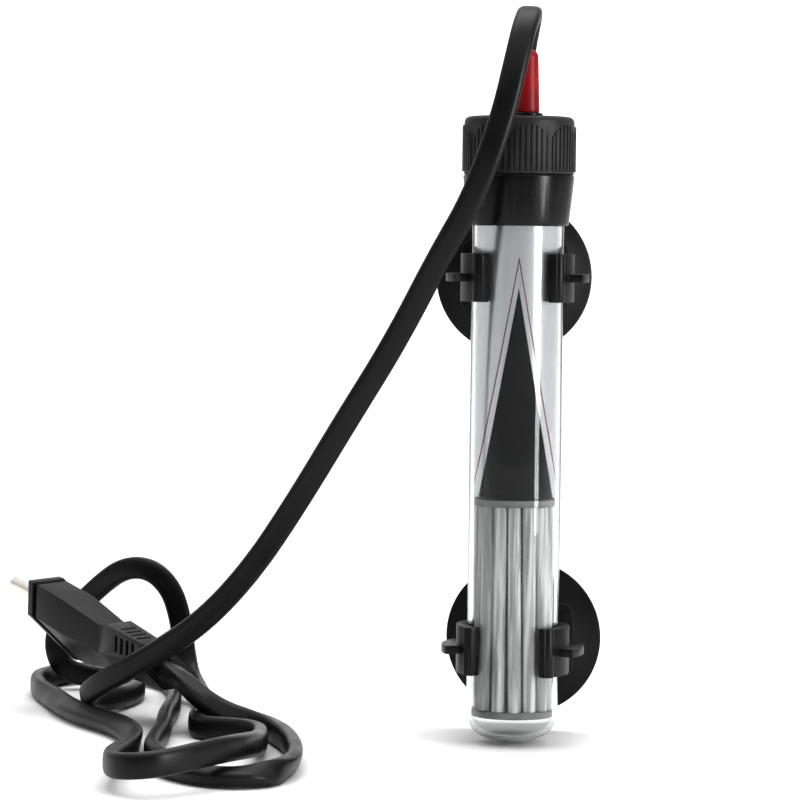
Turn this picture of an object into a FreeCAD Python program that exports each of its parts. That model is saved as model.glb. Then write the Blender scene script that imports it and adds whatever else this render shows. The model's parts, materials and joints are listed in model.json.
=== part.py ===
import FreeCAD, Part
import math
import os

from FreeCAD import Placement, Rotation, Vector

# A submersible aquarium heater: a glass tube with a thermostat and a ceramic element
# inside, a screwed head with a temperature knob, two clips with suction cups and a
# flat mains cord with a two-pin plug. Millimetres, +Z up. The origin is the centre of
# the upper suction cup's wall face, and the wall is the plane Y = 0.

# ---- driving dimensions ------------------------------------------------------------
TUBE_R = 12.5              # outer radius of the glass
TUBE_WALL = 1.1
TUBE_BOTTOM_Z = -127.0     # lowest point of the glass dome, the level of the surface below
DOME_HEIGHT = 8.5
DOME_CORNER_R = 7.0
SLEEVE_BOTTOM_Z = 14.0
SLEEVE_BOTTOM_WALL = 1.15
SLEEVE_TOP_WALL = 2.55
CAP_BOTTOM_Z = 28.0
CAP_HEIGHT = 15.5
CAP_WALL = 0.9
CAP_TOP_PLATE = 3.0
NECK_HEIGHT = 8.0
NECK_WALL = 1.35
PAD_HEIGHT_R = 0.5         # how far the grip pads stand out of the cap
PAD_COUNT = 8
PAD_TURN = 9.5             # degrees from the front to the middle of the first pad
GASKET_H = 1.0
KNOB_X = 1.7
KNOB_Y = -6.0              # knob axis, from the tube axis
KNOB_BASE_R = 3.4
KNOB_TAPER = 0.45          # how much narrower the knob is at its top
KNOB_H = 17.1
SPINDLE_R = 1.2
CORD_R = 2.6               # round tube with the section of the flat 6.6 x 4 mm cord
GLAND_WALL = 1.4
GLAND_EDGE = 1.4           # rubber left between the gland's hole and the glass
GLAND_X = 0.5              # cord gland axis, from the tube axis
LABEL_BOTTOM_Z = -59.3
LABEL_T = 0.25
LABEL_TUCK = 6.0           # how far the label reaches up inside the sleeve
SPACER_T = 1.8
COIL_WIRE_R = 0.3
COIL_PITCH = 4.5
COIL_GAP = 2.7             # wound wire to the capillaries
ROD_R = 1.75               # quartz capillaries round the element
ROD_BORE_R = 1.1
ROD_PITCH = 3.9            # from one capillary to the next, round their circle
ROD_GAP = 0.35             # capillaries to the glass
CLIP_WALL = 2.9
CLIP_H = 13.0
CLIP_OPENING = 40.0        # half angle of the clip's mouth, degrees
LOWER_CLIP_RISE = 26.0     # lower clip's middle above the bottom of the glass
LOWER_CLIP_TURN = -8.4     # how far the lower clip is turned about the tube, degrees
EAR_REACH = 4.0
EAR_T = 2.2
PLATE_W = 29.5
PLATE_H = 20.4
PLATE_T = 2.4
CUP_R = 21.7
CUP_NECK_R = 3.2
CUP_HEAD_LIP = 1.4
CUP_HEAD_H = 2.1
CUP_HEAD_GAP = 0.75        # cup's head to the back of the clip's hoop
CUP_SHOULDER = 4.8         # shoulder that the clip plate sits on, out from the neck
CUP_BODY_H = 6.1           # wall face to that shoulder
FIT = 0.1                  # radial clearance of a part that turns or slides in another
SLIP = 0.05                # clearance of a part that is pushed in and stays
PIN_R = 2.0
PIN_ROOT_R = 1.6           # the part of a pin that is moulded in
PIN_ROOT_H = 13.7
PIN_LENGTH = 19.0
PIN_SPACING = 19.0
PIN_EDGE = 8.5             # axis of a pin to the plug's edge
PLUG_T = 14.5
PLUG_LENGTH = 55.0
PLUG_WAIST = (17.0, 11.5)  # width and thickness where the grip is narrowest
PLUG_HEEL = (23.6, 12.0)   # the wider block behind the waist, at its front
PLUG_TAIL = (20.4, 9.6)    # and at its rear
PLUG_HEEL_H = 18.5
PLUG_BORE = 5.0            # how far the cord reaches into the plug
SLOT_COUNT = 4             # grooves in each sloping side of the plug's heel
SLOT_PITCH = 2.75
SLOT_W = 1.1
SLOT_DEPTH = 1.0
FLANGE_T = 2.6
GROOVE_T = 1.6
# ------------------------------------------------------------------------------------

Z_AXIS = Vector(0, 0, 1)
CLIP_BORE_R = TUBE_R + SLIP
CLIP_R = CLIP_BORE_R + CLIP_WALL
CUP_HEAD_R = CUP_NECK_R + CUP_HEAD_LIP
CUP_NECK_TOP = CUP_BODY_H + FIT + PLATE_T + FIT
STANDOFF = CLIP_R + CUP_HEAD_GAP + CUP_HEAD_H + CUP_NECK_TOP
AXIS = Vector(0, -STANDOFF, 0)
GLASS_BORE_R = TUBE_R - TUBE_WALL
CAP_TOP_Z = CAP_BOTTOM_Z + CAP_HEIGHT
CAP_CEILING_Z = CAP_TOP_Z - CAP_TOP_PLATE
GLASS_TOP_Z = CAP_BOTTOM_Z + NECK_HEIGHT
STOPPER_Z = GLASS_TOP_Z + GASKET_H
SKIRT_BOTTOM_Z = GLASS_TOP_Z - 6.0
DOME_TOP_Z = TUBE_BOTTOM_Z + DOME_HEIGHT
LABEL_R = GLASS_BORE_R - SLIP
INNER_R = LABEL_R - LABEL_T
SPACER_TOP_Z = LABEL_BOTTOM_Z - 0.7
CORE_TOP_Z = SPACER_TOP_Z - SPACER_T
CORE_BOTTOM_Z = DOME_TOP_Z + 1.1
NECK_R = TUBE_R + SLIP + NECK_WALL
CAP_CORE_R = NECK_R + FIT + CAP_WALL
GLAND_STEM_R = CORD_R + GLAND_WALL
GLAND_Y = GLASS_BORE_R - GLAND_STEM_R - GLAND_EDGE
KNOB_TOP_R = KNOB_BASE_R - KNOB_TAPER
ROD_CIRCLE_R = GLASS_BORE_R - ROD_GAP - ROD_R
CORE_R = ROD_CIRCLE_R - ROD_R - COIL_GAP - 2 * COIL_WIRE_R - SLIP
BOSS_H = 0.8
BOSS_TOP_Z = CAP_TOP_Z + BOSS_H
PLUG_W = PIN_SPACING + 2 * PIN_EDGE

# The cord's free points. Two more on the gland's axis come before them, and two on the
# plug's axis after them. The cord goes over the knob, down past the left of the head to
# the surface, round the loops that lie there, up over one standing arch and through the
# flat coil to the plug.
CORD_POINTS = [
    (1.1, -21.3, 62.3), (2.3, -25.5, 69.2), (2.4, -33.5, 71.8), (0.6, -41.5, 67.4),
    (-1.6, -46.3, 58.5), (-4.4, -49, 46), (-8.4, -50, 33), (-13.6, -49.2, 19.5),
    (-21.5, -46.5, 5.5), (-33, -41.5, -17.5), (-46, -36.8, -39), (-58.5, -31, -60.5),
    (-71, -26, -80), (-84.2, -22, -94.9), (-97.8, -17.2, -104.7), (-108.3, -13, -110.9),
    (-116.2, -5, -116.3), (-119.3, 3, -120.3), (-118, 12, -122.6), (-113.1, 21, -122.9),
    (-109.8, 32, -123.7), (-107.8, 44, -123.7), (-108.8, 56, -123.7), (-114.5, 66, -123.7),
    (-124, 69.5, -123.5), (-132.2, 67.5, -120.9), (-135, 67.5, -114.6), (-134.1, 69.5, -107.6),
    (-128.9, 68, -102.9), (-121.6, 63.5, -95.4), (-113.5, 58.5, -88.9), (-105.1, 54.5, -88.6),
    (-98.7, 52.5, -94.5), (-95.8, 51, -103.8), (-94.7, 50, -112.5), (-93.2, 46.5, -119.4),
    (-90, 38, -122.9), (-87.3, 23.2, -123.7), (-85.9, 7.4, -123.7), (-87, -9.9, -123.7),
    (-86.8, -23.2, -123.7), (-83.3, -28.9, -123.7), (-76.9, -31, -123.7), (-71.2, -34.6, -123.6),
    (-68.2, -41.6, -123.5), (-67.6, -51.5, -123), (-67.4, -65, -121.8), (-68.2, -83, -119.6),
    (-72.5, -100, -117.8), (-79.2, -110, -117.8), (-86, -117.2, -118.6), (-92.3, -121, -119.1),
    (-98.4, -118.6, -119.8), (-101.9, -111.4, -120.4), (-102.8, -102, -120.7),
    (-102.2, -88, -121.8), (-101.2, -70, -123.1), (-100.9, -52, -123.7), (-103.3, -36, -123.7),
    (-109.5, -21, -123.7), (-119, -6, -123.7), (-126, 10, -123.7), (-131, 27, -123.7),
    (-136.8, 44, -123.7), (-140, 61, -123.7), (-135.5, 77, -123.7), (-123, 85.5, -123.7),
    (-109.5, 81.5, -123.7), (-101, 69, -123.7), (-98, 53.5, -123.7), (-96.3, 34.7, -123.7),
    (-95.1, 10.6, -123.7), (-95.8, -12.4, -123.7), (-94.6, -34.2, -123.7), (-95.3, -53.1, -123.7),
    (-95.4, -71.7, -123.7), (-91.3, -87, -124.3), (-83, -100, -124.3), (-72.5, -107, -124.2),
    (-62.3, -102.5, -123.9), (-58.4, -89.7, -123.7), (-57.7, -73.8, -123.7),
    (-59.1, -55.8, -123.7), (-61.7, -42.3, -123.7), (-66, -28.4, -123.7), (-72.1, -20, -123.1),
    (-79.4, -17, -121.1), (-85.8, -16.5, -117.2),
]


def box(low, high):
    """A block between two opposite corners."""
    size = [high[i] - low[i] for i in range(3)]
    return Part.makeBox(*size, Vector(*low))


def rod(radius, low_z, high_z, x=0.0, y=0.0):
    """An upright cylinder."""
    return Part.makeCylinder(radius, high_z - low_z, Vector(x, y, low_z), Z_AXIS)


def ring(outer, inner, low_z, high_z):
    """An upright tube."""
    return rod(outer, low_z, high_z).cut(rod(inner, low_z - 1, high_z + 1))


def lathe(start, steps):
    """Revolve an (r, z) outline. A step is a corner, or a pair: arc mid point and end."""
    edges = []
    here = Vector(start[0], 0, start[1])
    for step in [*steps, start]:
        if isinstance(step[0], tuple):
            middle = Vector(step[0][0], 0, step[0][1])
            end = Vector(step[1][0], 0, step[1][1])
            edges.append(Part.Arc(here, middle, end).toShape())
        else:
            end = Vector(step[0], 0, step[1])
            edges.append(Part.makeLine(here, end))
        here = end
    return Part.Face(Part.Wire(edges)).revolve(Vector(0, 0, 0), Z_AXIS, 360)


def on_tube(shape, z=0.0, turn=0.0):
    """Place a shape built about the Z axis on the heater's own axis."""
    placed = shape.copy()
    placed.Placement = Placement(AXIS + Vector(0, 0, z), Rotation(Z_AXIS, turn)) * shape.Placement
    return placed


def save(name, *solids):
    """Write one node: a single solid, or a group of like solids."""
    shape = solids[0] if len(solids) == 1 else Part.makeCompound(list(solids))
    shape.exportStep(f"parts/{name}.step")


# ---- glass tube and what it holds ---------------------------------------------------

def dome_steps(inset):
    """The closed end, from the straight wall to the axis: a corner arc and a flat arc."""
    inner_corner = DOME_CORNER_R - inset
    a = TUBE_R - DOME_CORNER_R
    k = DOME_HEIGHT - DOME_CORNER_R
    rise = (a * a - k * k) / (2 * k)
    reach = math.hypot(a, rise)
    big = inner_corner + reach
    lean = math.atan2(a, rise)
    half = (math.pi / 2 + lean) / 2
    corner_mid = (a + inner_corner * math.sin(half), DOME_TOP_Z - inner_corner * math.cos(half))
    corner_end = (a + inner_corner * math.sin(lean), DOME_TOP_Z - inner_corner * math.cos(lean))
    centre_z = DOME_TOP_Z + rise
    flat_mid = (big * math.sin(lean / 2), centre_z - big * math.cos(lean / 2))
    return [(corner_mid, corner_end), (flat_mid, (0, centre_z - big))]


def glass_tube():
    outer = lathe((0, GLASS_TOP_Z), [(TUBE_R, GLASS_TOP_Z), (TUBE_R, DOME_TOP_Z), *dome_steps(0)])
    above = GLASS_TOP_Z + 1
    bore = lathe((0, above), [(GLASS_BORE_R, above), (GLASS_BORE_R, DOME_TOP_Z), *dome_steps(TUBE_WALL)])
    return outer.cut(bore)


def label_liner():
    """A rolled film inside the glass, open along a narrow seam at the back."""
    film = ring(LABEL_R, INNER_R, LABEL_BOTTOM_Z, SLEEVE_BOTTOM_Z + LABEL_TUCK)
    seam = box((-0.5, 0, LABEL_BOTTOM_Z - 1), (0.5, TUBE_R, GLASS_TOP_Z))
    return film.cut(seam)


def spacer(low_z, holes):
    disc = rod(INNER_R - SLIP, low_z, low_z + SPACER_T)
    for radius, x, y in holes:
        disc = disc.cut(rod(radius, low_z - 1, low_z + SPACER_T + 1, x, y))
    return disc


def heating_coil():
    """Resistance wire wound on the ceramic core."""
    helix_r = CORE_R + COIL_WIRE_R + SLIP
    height = CORE_TOP_Z - CORE_BOTTOM_Z - 4.0
    path = Part.makeHelix(COIL_PITCH, height, helix_r)
    section = Part.Wire(Part.makeCircle(COIL_WIRE_R, Vector(helix_r, 0, 0), Vector(0, 1, 0)))
    coil = Part.Wire(path.Edges).makePipeShell([section], True, True)
    coil.translate(Vector(0, 0, CORE_BOTTOM_Z + 2.0))
    return coil


def quartz_rods():
    rods = []
    count = int(2 * math.pi * ROD_CIRCLE_R / ROD_PITCH)
    for i in range(count):
        angle = 2 * math.pi * (i + 0.5) / count
        x = ROD_CIRCLE_R * math.cos(angle)
        y = ROD_CIRCLE_R * math.sin(angle)
        tube = rod(ROD_R, CORE_BOTTOM_Z, CORE_TOP_Z, x, y)
        rods.append(tube.cut(rod(ROD_BORE_R, CORE_BOTTOM_Z - 1, CORE_TOP_Z + 1, x, y)))
    return rods


# ---- thermostat -----------------------------------------------------------------------

FRAME_T = 2.0
FRAME_LENGTH = 48.0        # below the stopper's skirt
LEAD_R = 0.5
LEAD_SPREAD = 1.2          # each conductor's axis from the cord's
LEAD_OFFSET = 1.0          # conductors' axes behind the frame
STRIP_OFFSET = 2.8         # bimetal strip's front face before the frame
STRIP_T = 0.6
STRIP_LENGTH = 32.0
CONTACT_DROP = 4.0         # contacts below the strip's end
CONTACT_BUTTON_T = 0.4
NUT_DROP = 8.0             # adjuster nut's middle below the skirt
NUT_WALL = 1.4
LAMP_R = 1.5

LEAD_Y = GLAND_Y
LEAD_X = (GLAND_X - LEAD_SPREAD, GLAND_X + LEAD_SPREAD)
FRAME_BACK_Y = LEAD_Y - LEAD_OFFSET
FRAME_FRONT_Y = FRAME_BACK_Y - FRAME_T
STRIP_Y = FRAME_FRONT_Y - STRIP_OFFSET
FRAME_BOTTOM_Z = SKIRT_BOTTOM_Z - FRAME_LENGTH
STRIP_ROOT_Z = FRAME_BOTTOM_Z + 2.0
STRIP_TOP_Z = STRIP_ROOT_Z + STRIP_LENGTH
CONTACT_Z = STRIP_TOP_Z - CONTACT_DROP
NUT_Z = SKIRT_BOTTOM_Z - NUT_DROP
SPINDLE_LOW_Z = NUT_Z - 2.0


def thermostat_frame():
    """The insulating strip that hangs from the stopper and carries the switch."""
    strip = box((-7, FRAME_FRONT_Y, FRAME_BOTTOM_Z), (7, FRAME_BACK_Y, SKIRT_BOTTOM_Z))
    for z in (FRAME_BOTTOM_Z + 14.0, FRAME_BOTTOM_Z + 26.0):
        hole = Part.makeCylinder(0.9, 6, Vector(0, FRAME_FRONT_Y - 1, z), Vector(0, 1, 0))
        strip = strip.cut(hole)
    return strip


def bimetal_arm():
    """The bimetal strip with its moving contact."""
    strip = box((-3, STRIP_Y, STRIP_ROOT_Z), (3, STRIP_Y + STRIP_T, STRIP_TOP_Z))
    face = Vector(0, STRIP_Y + STRIP_T, CONTACT_Z)
    button = Part.makeCylinder(1.3, CONTACT_BUTTON_T, face, Vector(0, 1, 0))
    return strip.fuse(button)


def fixed_contact():
    """A brass bracket on the frame with the fixed contact's button."""
    face_y = STRIP_Y + STRIP_T + CONTACT_BUTTON_T + FIT
    bracket = box((-2, face_y + 0.5, CONTACT_Z - 2), (2, FRAME_FRONT_Y, CONTACT_Z + 2))
    button = Part.makeCylinder(1.3, 0.5, Vector(0, face_y, CONTACT_Z), Vector(0, 1, 0))
    return bracket.fuse(button)


def strip_mount():
    low_y = STRIP_Y + STRIP_T + FIT
    return box((-3, low_y, STRIP_ROOT_Z), (3, FRAME_FRONT_Y, STRIP_ROOT_Z + 6))


def adjuster_nut():
    """The threaded block that the spindle drives up and down along the frame."""
    left = KNOB_X - 3.0
    right = KNOB_X + 3.0
    front = KNOB_Y - SPINDLE_R - NUT_WALL
    block = box((left, front, NUT_Z - 2), (right, FRAME_FRONT_Y - FIT, NUT_Z + 2))
    block = block.common(rod(INNER_R - FIT, NUT_Z - 3, NUT_Z + 3))
    bore = rod(SPINDLE_R + SLIP, NUT_Z - 3, NUT_Z + 3, KNOB_X, KNOB_Y)
    return block.cut(bore)


def leads(low_z, high_z, radius):
    return [rod(radius, low_z, high_z, x, LEAD_Y) for x in LEAD_X]


def terminals():
    """A crimped tab on the frame's back for each conductor."""
    tabs = []
    for x in LEAD_X:
        tab = box((x - 1.0, FRAME_BACK_Y, FRAME_BOTTOM_Z + 1), (x + 1.0, LEAD_Y + 1.1, FRAME_BOTTOM_Z + 6))
        tabs.append(tab.cut(rod(LEAD_R + SLIP, FRAME_BOTTOM_Z, FRAME_BOTTOM_Z + 7, x, LEAD_Y)))
    return tabs


def on_frame(left, right, depth, low, high):
    """A block on the frame's front, with its height counted from the frame's end."""
    return box((left, FRAME_FRONT_Y - depth, FRAME_BOTTOM_Z + low),
               (right, FRAME_FRONT_Y, FRAME_BOTTOM_Z + high))


def lamp():
    """The small indicator bulb that shows through the glass."""
    return rod(LAMP_R, FRAME_BOTTOM_Z + 16, FRAME_BOTTOM_Z + 26, -5.2, FRAME_FRONT_Y - LAMP_R)


# ---- head ------------------------------------------------------------------------------

def head_sleeve():
    """The tapered sleeve round the glass, with the threaded neck that takes the cap."""
    bore = TUBE_R + SLIP
    low_r = bore + SLEEVE_BOTTOM_WALL
    top_r = bore + SLEEVE_TOP_WALL
    return lathe(
        (bore, SLEEVE_BOTTOM_Z),
        [
            (low_r - 0.4, SLEEVE_BOTTOM_Z),
            (low_r, SLEEVE_BOTTOM_Z + 0.4),
            (top_r, CAP_BOTTOM_Z - 0.6),
            (top_r - 0.5, CAP_BOTTOM_Z),
            (NECK_R, CAP_BOTTOM_Z),
            (NECK_R, GLASS_TOP_Z),
            (bore, GLASS_TOP_Z),
        ],
    )


def grip_pad():
    """One raised pad with an arched top, cut by fine upright ribs."""
    outer = CAP_CORE_R + PAD_HEIGHT_R
    half_w = outer * math.sin(math.radians(0.5 * 360 / PAD_COUNT)) - 0.6
    low_z = CAP_BOTTOM_Z + 0.7
    spring_z = CAP_TOP_Z - 2.4 - half_w * 0.7
    top_z = CAP_TOP_Z - 2.4
    left = Vector(-half_w, 0, spring_z)
    right = Vector(half_w, 0, spring_z)
    edges = [
        Part.makeLine(Vector(-half_w, 0, low_z), Vector(half_w, 0, low_z)),
        Part.makeLine(Vector(half_w, 0, low_z), right),
        Part.Arc(right, Vector(0, 0, top_z), left).toShape(),
        Part.makeLine(left, Vector(-half_w, 0, low_z)),
    ]
    arch = Part.Face(Part.Wire(edges)).extrude(Vector(0, -2 * outer, 0))
    pad = ring(outer, CAP_CORE_R - 0.6, low_z - 1, top_z + 1).common(arch)
    rib_pitch = 1.5
    for i in range(-3, 4):
        x = i * rib_pitch
        y = -math.sqrt(outer * outer - x * x)
        cut = box((x - 0.3, y - 1, low_z - 1), (x + 0.3, y + 0.35, top_z + 1))
        pad = pad.cut(cut)
    return pad


def cap_nut():
    """The screw cap: a cup with a rounded shoulder, grip pads and two holes on top."""
    core = rod(CAP_CORE_R, CAP_BOTTOM_Z, CAP_TOP_Z)
    rim = [edge for edge in core.Edges if edge.BoundBox.ZMin > CAP_TOP_Z - 0.01]
    core = core.makeFillet(1.6, rim)
    pad = grip_pad()
    pads = []
    for i in range(PAD_COUNT):
        copy = pad.copy()
        copy.rotate(Vector(0, 0, 0), Z_AXIS, PAD_TURN + 360.0 / PAD_COUNT * i)
        pads.append(copy)
    cap = core.multiFuse(pads)
    cap = cap.cut(rod(NECK_R + FIT, CAP_BOTTOM_Z - 1, CAP_CEILING_Z))
    cap = cap.cut(rod(GLAND_STEM_R + SLIP, CAP_CEILING_Z - 1, CAP_TOP_Z + 1, GLAND_X, GLAND_Y))
    return cap.cut(rod(SPINDLE_R + FIT, CAP_CEILING_Z - 1, CAP_TOP_Z + 1, KNOB_X, KNOB_Y))


def gasket():
    return ring(NECK_R, GLASS_BORE_R, GLASS_TOP_Z, STOPPER_Z)


def stopper():
    """The plug that closes the glass, with a skirt inside it and two passages."""
    disc = rod(NECK_R, STOPPER_Z, CAP_CEILING_Z)
    skirt = rod(GLASS_BORE_R - SLIP, SKIRT_BOTTOM_Z, STOPPER_Z)
    body = disc.fuse(skirt)
    body = body.cut(rod(GLAND_STEM_R + SLIP, SKIRT_BOTTOM_Z - 1, CAP_CEILING_Z + 1, GLAND_X, GLAND_Y))
    return body.cut(rod(SPINDLE_R + FIT, SKIRT_BOTTOM_Z - 1, CAP_CEILING_Z + 1, KNOB_X, KNOB_Y))


def gland():
    """The rubber bush that the cord comes out of."""
    flange_r = GLAND_STEM_R + 1.2
    bush = lathe(
        (CORD_R + SLIP, SKIRT_BOTTOM_Z),
        [
            (GLAND_STEM_R, SKIRT_BOTTOM_Z),
            (GLAND_STEM_R, CAP_TOP_Z),
            (flange_r, CAP_TOP_Z),
            (flange_r, CAP_TOP_Z + 1.2),
            (GLAND_STEM_R + 0.3, CAP_TOP_Z + 1.7),
            (CORD_R + 0.9, CAP_TOP_Z + 7.0),
            (CORD_R + SLIP, CAP_TOP_Z + 7.0),
        ],
    )
    return bush.translated(Vector(GLAND_X, GLAND_Y, 0))


def knob_boss():
    """The dark ring on the cap that the knob turns on."""
    boss = rod(KNOB_BASE_R + 0.9, CAP_TOP_Z, BOSS_TOP_Z, KNOB_X, KNOB_Y)
    return boss.cut(rod(SPINDLE_R + FIT, CAP_TOP_Z - 1, BOSS_TOP_Z + 1, KNOB_X, KNOB_Y))


def temperature_knob():
    """A slender tapered knob with a rounded end and a bore for the spindle."""
    low = BOSS_TOP_Z + FIT
    top = low + KNOB_H
    round_r = KNOB_TOP_R - 0.6
    nose = (KNOB_TOP_R - round_r * (1 - math.sqrt(0.5)), top - round_r * (1 - math.sqrt(0.5)))
    knob = lathe(
        (0, low),
        [
            (KNOB_BASE_R, low),
            (KNOB_BASE_R, low + 1.2),
            (KNOB_TOP_R, top - round_r),
            (nose, (KNOB_TOP_R - round_r, top)),
            (0, top),
        ],
    )
    knob = knob.cut(rod(SPINDLE_R + SLIP, low - 1, low + 0.7 * KNOB_H))
    return knob.translated(Vector(KNOB_X, KNOB_Y, 0))


def spindle():
    return rod(SPINDLE_R, SPINDLE_LOW_Z, BOSS_TOP_Z + FIT + 0.7 * KNOB_H, KNOB_X, KNOB_Y)


# ---- clips and suction cups, built about the tube axis with the wall at +Y --------------

def clip_ear(side):
    """A thin level finger on the clip's flank, with a rounded end."""
    flat = ring(CLIP_R + EAR_REACH, CLIP_R - 1.0, -EAR_T / 2, EAR_T / 2)
    reach = CLIP_R + EAR_REACH + 1
    wedge = [Vector(0, 0, -EAR_T)]
    for angle in (-28, 8, 44):
        turn = math.radians(angle)
        wedge.append(Vector(side * 1.4 * reach * math.cos(turn), 1.4 * reach * math.sin(turn), -EAR_T))
    sector = Part.Face(Part.makePolygon([*wedge, wedge[0]])).extrude(Vector(0, 0, 2 * EAR_T))
    return flat.common(sector)


def clip():
    """A C-clip with a back plate, two webs, two ears and a keyed hole for the cup."""
    half = CLIP_H / 2
    hoop = ring(CLIP_R, CLIP_BORE_R, -half, half)
    mouth = math.radians(CLIP_OPENING)
    far = 3 * CLIP_R
    corners = [
        Vector(0, 0, -half - 1),
        Vector(-far * math.sin(mouth), -far * math.cos(mouth), -half - 1),
        Vector(far * math.sin(mouth), -far * math.cos(mouth), -half - 1),
    ]
    wedge = Part.Face(Part.makePolygon([*corners, corners[0]])).extrude(Vector(0, 0, CLIP_H + 2))
    hoop = hoop.cut(wedge)
    extras = [clip_ear(1), clip_ear(-1)]
    for side in (1, -1):
        lip = mouth + math.radians(7)
        bead_r = CLIP_R - 0.9
        extras.append(rod(1.7, -half, half, side * bead_r * math.sin(lip), -bead_r * math.cos(lip)))
    bore = rod(CLIP_BORE_R, -half - 1, half + 1)
    plate_y = STANDOFF - CUP_BODY_H - FIT - PLATE_T
    web_x = CUP_HEAD_R + 1.0
    for side in (1, -1):
        low = min(side * web_x, side * (web_x + 2.2))
        extras.append(box((low, CLIP_R - 3.2, -half), (low + 2.2, plate_y + 0.5, half)))
    plate = box((-PLATE_W / 2, plate_y, -PLATE_H / 2), (PLATE_W / 2, plate_y + PLATE_T, PLATE_H / 2))
    upright = [e for e in plate.Edges if abs(e.BoundBox.YLength - PLATE_T) < 0.01]
    extras.append(plate.makeFillet(3.0, upright))
    body = hoop.multiFuse(extras).cut(bore)
    hole = Part.makeCylinder(CUP_NECK_R + FIT, PLATE_T + 2, Vector(0, plate_y - 1, 0), Vector(0, 1, 0))
    return body.cut(hole)


def suction_cup():
    """A soft disc with a shallow hollow, a neck and a mushroom head, pressed flat."""
    head_top = CUP_NECK_TOP + CUP_HEAD_H
    profile = lathe(
        (0, 1.6),
        [
            ((CUP_R * 0.6, 1.1), (CUP_R - 2.2, 0)),
            (CUP_R, 0),
            (CUP_R, 1.0),
            ((CUP_R * 0.68, 2.9), (CUP_NECK_R + CUP_SHOULDER, CUP_BODY_H)),
            (CUP_NECK_R, CUP_BODY_H),
            (CUP_NECK_R, CUP_NECK_TOP),
            (CUP_HEAD_R, CUP_NECK_TOP + 0.1),
            (CUP_HEAD_R, CUP_NECK_TOP + 0.9),
            (CUP_HEAD_R - 1.2, head_top),
            (0, head_top),
        ],
    )
    profile.rotate(Vector(0, 0, 0), Vector(1, 0, 0), 90)
    return profile.translated(Vector(0, STANDOFF, 0))


# ---- cord and plug ----------------------------------------------------------------------

def tube_path(points):
    """Straight runs joined by tangent arcs, each as large as its two runs allow."""
    edges = []
    radii = []
    here = points[0]
    for before, corner, after in zip(points, points[1:], points[2:]):
        into = (corner - before).normalize()
        out = (after - corner).normalize()
        reach = 0.45 * min(corner.distanceToPoint(before), corner.distanceToPoint(after))
        radii.append(reach / math.tan(into.getAngle(out) / 2))
        start = corner - into * reach
        end = corner + out * reach
        bisector = (out - into).normalize()
        sagitta = radii[-1] * (1 / math.cos(into.getAngle(out) / 2) - 1)
        edges.append(Part.LineSegment(here, start).toShape())
        edges.append(Part.Arc(start, corner + bisector * sagitta, end).toShape())
        here = end
    edges.append(Part.LineSegment(here, points[-1]).toShape())
    return Part.Wire(edges), radii


def power_cord():
    exit_point = AXIS + Vector(GLAND_X, GLAND_Y, CAP_TOP_Z)
    points = [exit_point, exit_point + Z_AXIS * 9.5]
    points += [Vector(*point) for point in CORD_POINTS]
    points += [PLUG_REAR - PLUG_FORWARD * 6.0, PLUG_REAR + PLUG_FORWARD * PLUG_BORE]
    path, radii = tube_path(points)
    along = points[1] - points[0]
    section = Part.Wire(Part.makeCircle(CORD_R, points[0], along))
    tube = path.makePipeShell([section], True, True)
    expected = math.pi * CORD_R ** 2 * path.Length
    print("cord length", round(path.Length, 1), "volume ratio", round(tube.Volume / expected, 4))
    print("cord radii", [round(radius, 1) for radius in radii])
    return tube


# The plug's own frame: x across its width, y through its thickness, z from the rear
# end, where the cord enters, to the flat front face that carries the pins.
PLUG_REAR = Vector(-96.8, -5.6, -109.9)
PLUG_FORWARD = Vector(-0.582, 0.8, 0.149).normalize()
PLUG_ACROSS = Vector(0.547, 0.52, -0.656)


def plug_placement():
    across = PLUG_ACROSS - PLUG_FORWARD * PLUG_ACROSS.dot(PLUG_FORWARD)
    through = PLUG_FORWARD.cross(across.normalize())
    matrix = FreeCAD.Matrix(
        across.x, through.x, PLUG_FORWARD.x, PLUG_REAR.x,
        across.y, through.y, PLUG_FORWARD.y, PLUG_REAR.y,
        across.z, through.z, PLUG_FORWARD.z, PLUG_REAR.z,
        0, 0, 0, 1)
    return Placement(matrix)


def hexagon(width, depth, z):
    """The flat six-sided outline of the plug's front."""
    nose = depth / 2
    corners = [
        Vector(width / 2, 0, z), Vector(width / 2 - nose, depth / 2, z),
        Vector(nose - width / 2, depth / 2, z), Vector(-width / 2, 0, z),
        Vector(nose - width / 2, -depth / 2, z), Vector(width / 2 - nose, -depth / 2, z),
    ]
    return Part.makePolygon([*corners, corners[0]])


def plug_front():
    """The front slab, with a neck behind it that makes the dark groove."""
    flange_z = PLUG_LENGTH - FLANGE_T
    slab = Part.Face(hexagon(PLUG_W, PLUG_T, flange_z)).extrude(Vector(0, 0, FLANGE_T))
    neck_z = flange_z - GROOVE_T
    neck = Part.Face(hexagon(PLUG_W - 5, PLUG_T - 3, neck_z)).extrude(Vector(0, 0, GROOVE_T))
    front = slab.fuse(neck)
    for side in (1, -1):
        front = front.cut(rod(PIN_ROOT_R + SLIP, neck_z - 1, PLUG_LENGTH + 1, side * PIN_SPACING / 2, 0))
    return front


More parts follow.
